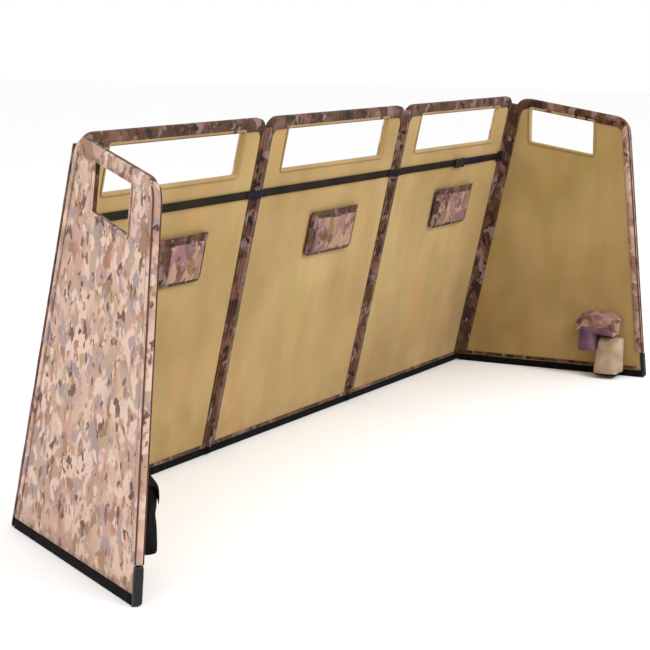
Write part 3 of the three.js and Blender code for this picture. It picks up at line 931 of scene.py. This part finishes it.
def fold_line_cover(child):
    """The sewn fold between two panels: a gusset outside, bent round the hinge axis, and a ridge of
    binding inside, over the beaded seam. Both run on in black beside the hems."""
    joint = joints[f"{child.name}_fold"]
    side = math.copysign(1, joint["pos_m"][0])  # -1 where the child is to the left
    fold = abs(child.turn)
    edge_y, inner_y = AXIS_OFFSET + HALF, AXIS_OFFSET - HALF
    corner = math.atan2(edge_y, SEAM_GAP)
    reach = math.hypot(edge_y, SEAM_GAP) + 0.0006
    # From the parent's outer corner to the child's, which has turned in by the fold.
    near = math.pi - corner if side > 0 else corner
    far = corner - fold if side > 0 else math.pi - corner + fold

    def gusset(z):
        ripple = 0.0008 * noise.noise(Vector((z * 14, side, fold)))
        return arc_section(reach + ripple, near, far)

    def ridge(z):
        ripple = 0.0007 * noise.noise(Vector((z * 19, side * 3, fold + 2)))
        return ridge_section(fold, side, inner_y, ripple)

    turn = Matrix.Rotation(-side * fold, 2)
    outer_ends = [Vector((math.cos(a), math.sin(a))) * reach for a in (near, far)]
    inner_ends = [Vector((-side * HOLD, inner_y)), turn @ Vector((side * HOLD, inner_y))]
    axis = Matrix.Translation(Vector(joint["pos_m"])) @ Matrix.Rotation(LEAN, 4, "X")
    whole = spread(LOW_END, FOLD_TOP, 60)
    for name, section_at, ends, heights, cloth in (
        ("fold_gusset", gusset, outer_ends, whole, BINDING),
        ("fold_ridge", ridge, inner_ends, whole, BINDING),
        ("hem_gusset", gusset, outer_ends, spread(0.001, LOW_END - 0.001, 4), BLACK),
        ("hem_ridge", ridge, inner_ends, spread(0.005, LOW_END - 0.001, 4), BLACK),
    ):
        rings = [[(x, y, z) for x, y in section_at(z)] for z in heights]
        made = fold_strip(name, child, axis, rings, cloth)
        if name == "fold_ridge":
            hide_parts(f"seam_bead_{child.name}")


# ---------------------------------------------------------------- the strap

def band(name, panel, centres, width, thickness, material):
    """Webbing along the inner face. centres are pairs of x and its distance in from the face."""
    low, high = STRAP_HEIGHT - width / 2, STRAP_HEIGHT + width / 2
    edge = thickness * 0.35
    rings = []
    for x, lift in centres:
        near, far = -HALF - lift, -HALF - lift - thickness
        middle = (near + far) / 2
        back = [(x, near, low + edge), (x, near, high - edge), (x, middle, high)]
        front = [(x, far, high - edge), (x, far, low + edge), (x, middle, low)]
        rings.append(back + front)
    return solid(name, rings, material, panel.matrix)


def wavy(start, end, lift, steps, seed, size=0.0009):
    """Stations along a strap that isn't quite pressed to the cloth."""
    result = []
    for i, x in enumerate(spread(start, end, steps)):
        free = math.sin(math.pi * i / steps)
        result.append((x, lift + size * free * (1 + noise.noise(Vector((x * 7, seed, 0))))))
    return result


def strap_run(panel, number):
    start = STRAP_TUCK if panel is FRONT_LEFT else STRAP_END
    end = PITCH - (STRAP_TUCK if panel is FRONT_RIGHT else STRAP_END)
    stations = wavy(start, end, WEB_LIFT, 40, number)
    made = band(f"strap_run_{panel.name}", panel, stations, STRAP_WIDTH, WEB, WEBBING)
    placed(made, panel, f"strap_{panel.name}")


def strap_bridge(parent, child):
    """The strap where it passes over a fold line, humped over the seam."""
    side = math.copysign(1, joints[f"{child.name}_fold"]["pos_m"][0])
    seam_x = PITCH * (0.5 + side / 2)
    reach = STRAP_END + 0.018  # laps the straps on either panel
    stations = []
    for x in spread(-reach, reach, 16):
        hump = 0.0066 * (1 - smoothstep(0.004, 0.034, abs(x)))
        stations.append((seam_x + x, WEB_LIFT + WEB + 0.0005 + hump))
    made = band(f"strap_bridge_{child.name}", parent, stations, STRAP_WIDTH, WEB, NAVY_WEBBING)
    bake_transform(made)


def strap_tab(panel):
    """A patch sewn over the end of the strap, with a row of stitches round it and one across."""
    side, name = (-1, "left") if panel is FRONT_LEFT else (1, "right")
    left = TAB_FROM_SEAM if side < 0 else PITCH - TAB_FROM_SEAM - TAB_LENGTH
    thickness = 0.0024
    lift = WEB_LIFT + WEB + 0.0006
    stations = wavy(left, left + TAB_LENGTH, lift, 10, side, 0.0003)
    made = band(f"strap_anchor_{name}", panel, stations, TAB_WIDTH, thickness, BLACK)
    placed(made, panel, f"strap_tab_{name}")
    margin = 0.004
    low = STRAP_HEIGHT - TAB_WIDTH / 2 + margin
    box = rectangle(left + margin, low, TAB_LENGTH - 2 * margin, TAB_WIDTH - 2 * margin)
    y = -HALF - lift - thickness - 0.0004
    stitching(f"anchor_stitching_{name}", panel, (box + box[:1], y), ([box[0], box[2]], y))


def buckle(panel):
    """A side-release buckle with its doubled-back strap end."""
    lift = WEB_LIFT + WEB + 0.0008
    steps, grooves = 26, (8, 18)
    rings = []
    for i, share in enumerate(spread(0, 1, steps)):
        waist = 0.0035 * math.exp(-(((share - 0.50) / 0.13) ** 2))  # where the prongs are pressed
        ends = 0.0025 * (smoothstep(0.10, 0.0, share) + smoothstep(0.90, 1.0, share))
        half, deep = 0.0175 - waist - ends, 0.0105 - 0.8 * ends
        groove = 0.0014 if i in grooves else 0.0
        x, y = BUCKLE_FROM_SEAM + BUCKLE_LENGTH * share, -HALF - lift - deep / 2
        section = round_section(20, 0.45, half - groove, deep / 2 - groove)
        rings.append([(x, y - out, STRAP_HEIGHT + across) for across, out in section])
    made = solid("buckle_shell", rings, PLASTIC, panel.matrix)
    placed(made, panel, "strap_buckle")
    start = BUCKLE_FROM_SEAM + BUCKLE_LENGTH + 0.001
    stations = wavy(start, start + TAIL_LENGTH, lift + 0.0002, 24, 4.0, 0.0022)
    tail = band("strap_loose_end", panel, stations, TAIL_WIDTH, 0.0023, NAVY_WEBBING)
    placed(tail, panel, "strap_tail")


# ---------------------------------------------------------------- pockets and pouches

CLOTH_FRAMES = 20  # of the cloth simulation


def blown(made, pressure, cap):
    """A closed bag filled out by cloth simulation, with no point moved further than cap."""
    rest = [v.co.copy() for v in made.data.vertices]
    cloth = made.modifiers.new("cloth", "CLOTH")
    cloth.settings.quality = 6
    cloth.settings.mass = 0.25
    cloth.settings.use_pressure = True
    cloth.settings.uniform_pressure_force = pressure
    cloth.settings.effector_weights.gravity = 0
    cloth.point_cache.frame_start = 1
    cloth.point_cache.frame_end = CLOTH_FRAMES
    for number in range(1, CLOTH_FRAMES + 1):
        bpy.context.scene.frame_set(number)
    fixed(made)
    for vertex, start in zip(made.data.vertices, rest):
        move = vertex.co - start
        if move.length > cap:
            vertex.co = start + move.normalized() * cap
    bpy.context.scene.frame_set(1)


def inflated(made, voxel, pressure, cap):
    """A sewn bag with an even mesh, filled out and smoothed."""
    bpy.context.view_layer.objects.active = made
    made.select_set(True)
    remesh = made.modifiers.new("remesh", "REMESH")
    remesh.mode = "VOXEL"
    remesh.voxel_size = voxel
    fixed(made)
    blown(made, pressure, cap)
    smooth = made.modifiers.new("smooth", "SMOOTH")
    smooth.factor = 0.5
    smooth.iterations = 3
    fixed(made)
    made.data.polygons.foreach_set("use_smooth", [True] * len(made.data.polygons))
    made.select_set(False)
    return made


def sack(name, panel, box, steps, depth_at, back, material):
    """A bag against the lining. box is its left, bottom, width and height, steps are its columns and
    rows, and depth_at gives how deep it is at each share of its width and height."""
    left, bottom, width, height = box
    rings = []
    for share in spread(0, 1, steps[0]):
        x = left + width * share
        front = []
        for up in spread(0, 1, steps[1]):
            front.append((x, -HALF - depth_at(share, up), bottom + height * up))
        rings.append(front + [(x, -HALF - back, z) for _, _, z in front[::-1]])
    return solid(f"{name}_{panel.name}", rings, material, panel.matrix)


def pocket_bag(panel):
    """A flat gear pocket, fuller in the middle, hung on the lining."""
    left = (PITCH - POCKET_WIDTH) / 2 + POCKET_OFF_CENTRE

    def depth_at(share, up):
        full = (1 - abs(2 * share - 1) ** 6) * (1 - abs(2 * up - 1) ** 4)
        return 0.006 + (0.0065 + 0.0018 * (1 - up)) * full  # it sags towards its base

    box = (left, POCKET_BOTTOM, POCKET_WIDTH, POCKET_HEIGHT)
    made = sack("pocket", panel, box, (20, 10), depth_at, 0.0018, POCKET_CAMO)
    inflated(made, 0.004, 2.0, 0.004)
    mouth = POCKET_BOTTOM + POCKET_HEIGHT - 0.022
    bound_to = left + (0.120 if panel is FRONT_LEFT else 0.040)
    paint_places(made, panel, BINDING, lambda spot, normal: spot.x < bound_to or spot.z > mouth)
    placed(made, panel, f"gear_pocket_{panel.name}")
    pocket_trim(panel, left)


def flat_tape(name, panel, route, levels, width, thickness):
    """Binding laid flat along a route, at the y that levels gives for each point."""
    rings = []
    for i, spot in enumerate(route):
        ahead, behind = route[min(i + 1, len(route) - 1)], route[max(i - 1, 0)]
        along = (ahead - behind).normalized()
        side = Vector((-along.y, along.x)) * (width / 2)
        a, b = spot - side, spot + side
        near, far = levels[i], levels[i] - thickness
        rings.append([(a.x, near, a.y), (b.x, near, b.y), (b.x, far, b.y), (a.x, far, a.y)])
    piece(panel, name, rings, BINDING)


def pocket_trim(panel, left):
    """Dark tape along the pocket's sides and base, with stitches, and across its mouth."""
    face = -HALF - 0.0085
    margin, radius = 0.007, 0.016
    low, high = POCKET_BOTTOM + 0.006, POCKET_BOTTOM + POCKET_HEIGHT
    a, b, c, d = rectangle(left + margin, low, POCKET_WIDTH - 2 * margin, high - low)
    first, second = turned_corner(d, a, b, radius, 5), turned_corner(a, b, c, radius, 5)
    fall, rise = straight(d, first[0], 8), straight(second[-1], c, 8)
    loop = [*fall, *first, *straight(first[-1], second[0], 12), *second, *rise]
    flat_tape("pocket_rim", panel, loop, [face] * len(loop), 0.013, 0.0014)
    across = [Vector((x, high - 0.004)) for x in spread(left, left + POCKET_WIDTH, 20)]
    levels = [face - 0.0045 * math.sin(math.pi * share) for share in spread(0, 1, 20)]
    flat_tape("pocket_mouth", panel, across, levels, 0.017, 0.0022)
    stitching(f"pocket_stitching_{panel.name}", panel, (loop, face - 0.0017))


def densified(corners, step):
    """Points along an outline, no further apart than step."""
    result = []
    for corner, after in zip(corners, corners[1:] + corners[:1]):
        count = max(1, round((after - corner).length / step))
        result += [corner.lerp(after, k / count) for k in range(count)]
    return result


def pouch_fall(share):
    """How far a pouch's top falls, at this share of its width, below its height in the middle."""
    return 0.018 * abs(2 * share - 1) ** 3


def pouch_hang(z, top):
    """The share of its full depth that a pouch has at height z. It hangs fuller at its base."""
    up = (z - POUCH_BOTTOM) / (top - POUCH_BOTTOM)
    return 1 - 0.22 * min(max(up, 0.0), 1.0)


def pouch_outline(side, front, rear, top):
    """A pouch's outline. On the right wing the low pouch takes its lower rear corner."""
    corners = [(front, POUCH_BOTTOM), (rear, POUCH_BOTTOM), (rear, top), (front, top)]
    if side > 0:
        gap = 0.004
        notch_x, notch_z = WING_BASE - LOW_FROM_REAR - LOW_WIDTH - gap, LOW_TOP + gap
        corners[1:2] = [(notch_x, POUCH_BOTTOM), (notch_x, notch_z), (rear, notch_z)]
    corners = [Vector((x * side, z)) for x, z in corners]
    if side < 0:
        corners.reverse()
    return densified(inset(corners, [0.004] * len(corners)), 0.012)


def pouch_bag(panel, front, rear, top):
    """A boxy bag, before it is filled out, through rings that shrink at its front."""
    outline = pouch_outline(panel.free_side, front, rear, top)
    middle = sum(p.x for p in outline) / len(outline)
    level = (POUCH_BOTTOM + top) / 2
    straight_part = [(0.003, 0.0), (0.030, 0.0), (0.060, 0.0)]
    rounded_part = [(POUCH_DEPTH - 0.014, 0.03), (POUCH_DEPTH - 0.009, 0.08)]
    rings = []
    for depth, shrink in straight_part + rounded_part:
        ring = []
        for p in outline:
            x = middle + (p.x - middle) * (1 - shrink)
            above = max(0.0, (p.y - level) / (top - level))
            fall = pouch_fall((abs(p.x) - front) / POUCH_WIDTH) * above
            z = p.y + (level - p.y) * shrink - fall
            ring.append((x, -HALF - depth * pouch_hang(z, top), z))
        rings.append(ring)
    # On the left wing the pouch is black all over: painted shade.
    cloth = POCKET_CAMO if panel.free_side > 0 else BLACK
    return solid(f"pouch_{panel.name}", rings, cloth, panel.matrix)


def corner_pouch(panel, top):
    """A boxy gear pouch hung on a wing's lining: plum below its lid, with a tan rear end, on the right
    wing. On the left wing the pouch and its lid are all black: painted shade."""
    side = panel.free_side
    rear = WING_BASE - POUCH_FROM_REAR
    front = rear - POUCH_WIDTH
    made = inflated(pouch_bag(panel, front, rear, top), 0.005, 3.0, 0.007)

    def rear_end(spot, normal):
        return spot.x * side > rear - 0.012 and normal.x * side > 0.5

    if side > 0:
        paint_places(made, panel, PLUM, lambda spot, normal: spot.z < top - 0.040)
        paint_places(made, panel, GUSSET, rear_end)
    # The left wing's black here is painted shade.
    slot = "pocket_camo" if side > 0 else "black_hem"
    placed(made, panel, f"corner_pouch_{panel.name}")
    pouch_lid(panel, *sorted((front * side, rear * side)), top, slot)


def pouch_lid(panel, left, right, top, slot):
    """A flap that hangs from the lining over a pouch's top and part of its front."""
    over = [(0.001, 0.012), (0.012, 0.004), (0.045, 0.003), (0.076, 0.0)]
    down = [(0.0865, -0.010), (0.0880, -0.022), (0.0870, -0.032), (0.0860, -0.040)]
    lap = 0.003
    rings = []
    for share in spread(0, 1, 16):
        x = left - lap + (right - left + 2 * lap) * share
        fall = pouch_fall(share) - 0.0006 * noise.noise(Vector((x * 30, 1, 2)))
        tuck = 1 - 0.11 * abs(2 * share - 1) ** 4  # the ends curve in round the pouch's corners
        outer = []
        for depth, rise in over + down:
            z = top + rise
            outer.append((x, -HALF - 0.002 - depth * tuck * pouch_hang(z, top), z - fall))
        rings.append(outer + [(x, y + 0.0018, z - 0.0014) for x, y, z in outer[::-1]])
    # On the left wing the lid is black too: painted shade.
    cloth = POCKET_CAMO if panel.free_side > 0 else BLACK
    piece(panel, "pouch_lid", rings, cloth)


def low_pouch(panel):
    """A tan canvas wedge that stands on the ground under the corner pouch, with a black base."""
    fill = 0.005  # room left all round for the filling
    left = WING_BASE - LOW_FROM_REAR - LOW_WIDTH + fill

    def depth_at(share, up):
        pinch = 0.006 * abs(2 * share - 1) ** 4
        rounding = 0.020 * smoothstep(0.12, 0.0, up) + 0.014 * smoothstep(0.90, 1.0, up)
        return LOW_BASE_DEPTH + (LOW_TOP_DEPTH - LOW_BASE_DEPTH) * up - 0.008 - pinch - rounding

    box = (left, LOW_BOTTOM + fill, LOW_WIDTH - 2 * fill, LOW_TOP - LOW_BOTTOM - 2 * fill)
    made = sack("low_bag", panel, box, (8, 12), depth_at, 0.003, GUSSET)
    inflated(made, 0.005, 3.0, 0.006)
    paint_places(made, panel, BLACK, lambda spot, normal: spot.z < 0.020)
    placed(made, panel, f"low_pouch_{panel.name}")


# ---------------------------------------------------------------- hardware

def corner_foot(panel):
    """A moulded boot on the free lower corner of a wing, with a rounded toe."""
    rake = WING_REAR_RAKE / WING_REAR_HEIGHT
    steep = math.tan(panel.lean)
    toe = 0.010
    rings = []
    for share in spread(0, 1, 16):
        z = FOOT_HEIGHT * share
        rear = WING_BASE + 0.004 - rake * z
        front = WING_BASE - 0.0115 - rake * z
        rear -= toe * (1 - math.sqrt(max(0.0, 1 - (1 - min(z / toe, 1)) ** 2)))
        half = HALF + 0.002 - 0.0015 * smoothstep(0.9, 1.0, share)
        middle = (rear + front) / 2
        section = round_section(16, 0.35, (rear - front) / 2, half)
        ring = [(panel.free_side * (middle + x), y, z - y * steep) for x, y in section]
        rings.append(ring)
    piece(panel, "foot", rings, PLASTIC, "corner_foot")


def frame_looks():
    for name, node in frame["nodes"].items():
        if name.startswith(("frame_hoop", "frame_base_bar", "window_rail")):
            node.data.materials.clear()
            node.data.materials.append(TUBE)


# ---------------------------------------------------------------- stage, light and camera

def stage():
    bpy.ops.mesh.primitive_plane_add(size=60, location=(0, 0, -0.001))
    floor = bpy.context.object
    floor.name = "floor"
    shader = Shader("floor_paper", 0.9, specular=0.1)
    shader.two_tone((0.98, 0.98, 0.98, 1), (0.96, 0.96, 0.96, 1), 0.3, 0.7, 3, 3)
    floor.data.materials.append(shader.material)


def area_light(name, place, target, size, power):
    light = bpy.data.lights.new(name, "AREA")
    light.size = size
    light.energy = power
    made = bpy.data.objects.new(name, light)
    made.location = place
    made.rotation_euler = (Vector(target) - Vector(place)).to_track_quat("-Z", "Y").to_euler()
    bpy.context.scene.collection.objects.link(made)


def lights():
    world = bpy.data.worlds.new("studio")
    world.use_nodes = True
    background = world.node_tree.nodes["Background"]
    background.inputs["Color"].default_value = (1, 1, 1, 1)
    background.inputs["Strength"].default_value = 1.0
    bpy.context.scene.world = world
    area_light("key", (-0.6, -6.0, 4.8), (0, -0.2, 0.5), 3.0, 330)
    area_light("left", (-4.8, 2.2, 2.8), (-1.6, -0.3, 0.5), 1.6, 95)
    bpy.context.scene.view_settings.view_transform = "Standard"


CAMERA_PLACE = (-5.000, -2.947, 1.306)
CAMERA_YAW = math.radians(61.01)  # from +Y towards +X
CAMERA_PITCH = math.radians(9.48)  # downwards
FOCAL_WIDTHS = 2.756  # focal length in widths of the picture


def camera():
    data = bpy.data.cameras.new("camera")
    data.sensor_width = 36
    data.lens = 36 * FOCAL_WIDTHS
    data.clip_end = 100
    made = bpy.data.objects.new("camera", data)
    made.location = CAMERA_PLACE
    made.rotation_euler = (math.pi / 2 - CAMERA_PITCH, 0, -CAMERA_YAW)
    bpy.context.scene.collection.objects.link(made)
    bpy.context.scene.camera = made


# ---------------------------------------------------------------- the blind

camera()
lights()
stage()
frame_looks()
for number, panel in enumerate(PANELS):
    cloth_faces(panel, number)
    edge_tape(panel)
    if panel.free_side:
        piping(panel)
    window_tape(panel)
    edge_stitching(panel)
    ground_hem(panel)
    hem_band(panel)
fold_line_cover(FRONT_LEFT)
fold_line_cover(FRONT_RIGHT)
fold_line_cover(WING_LEFT)
fold_line_cover(WING_RIGHT)
for number, panel in enumerate(FRONTS):
    strap_run(panel, number)
    pocket_bag(panel)
strap_bridge(FRONT_MIDDLE, FRONT_LEFT)
strap_bridge(FRONT_MIDDLE, FRONT_RIGHT)
strap_tab(FRONT_LEFT)
strap_tab(FRONT_RIGHT)
buckle(FRONT_RIGHT)
corner_pouch(WING_LEFT, LEFT_POUCH_TOP)
corner_pouch(WING_RIGHT, RIGHT_POUCH_TOP)
corner_foot(WING_LEFT)
corner_foot(WING_RIGHT)
low_pouch(WING_RIGHT)
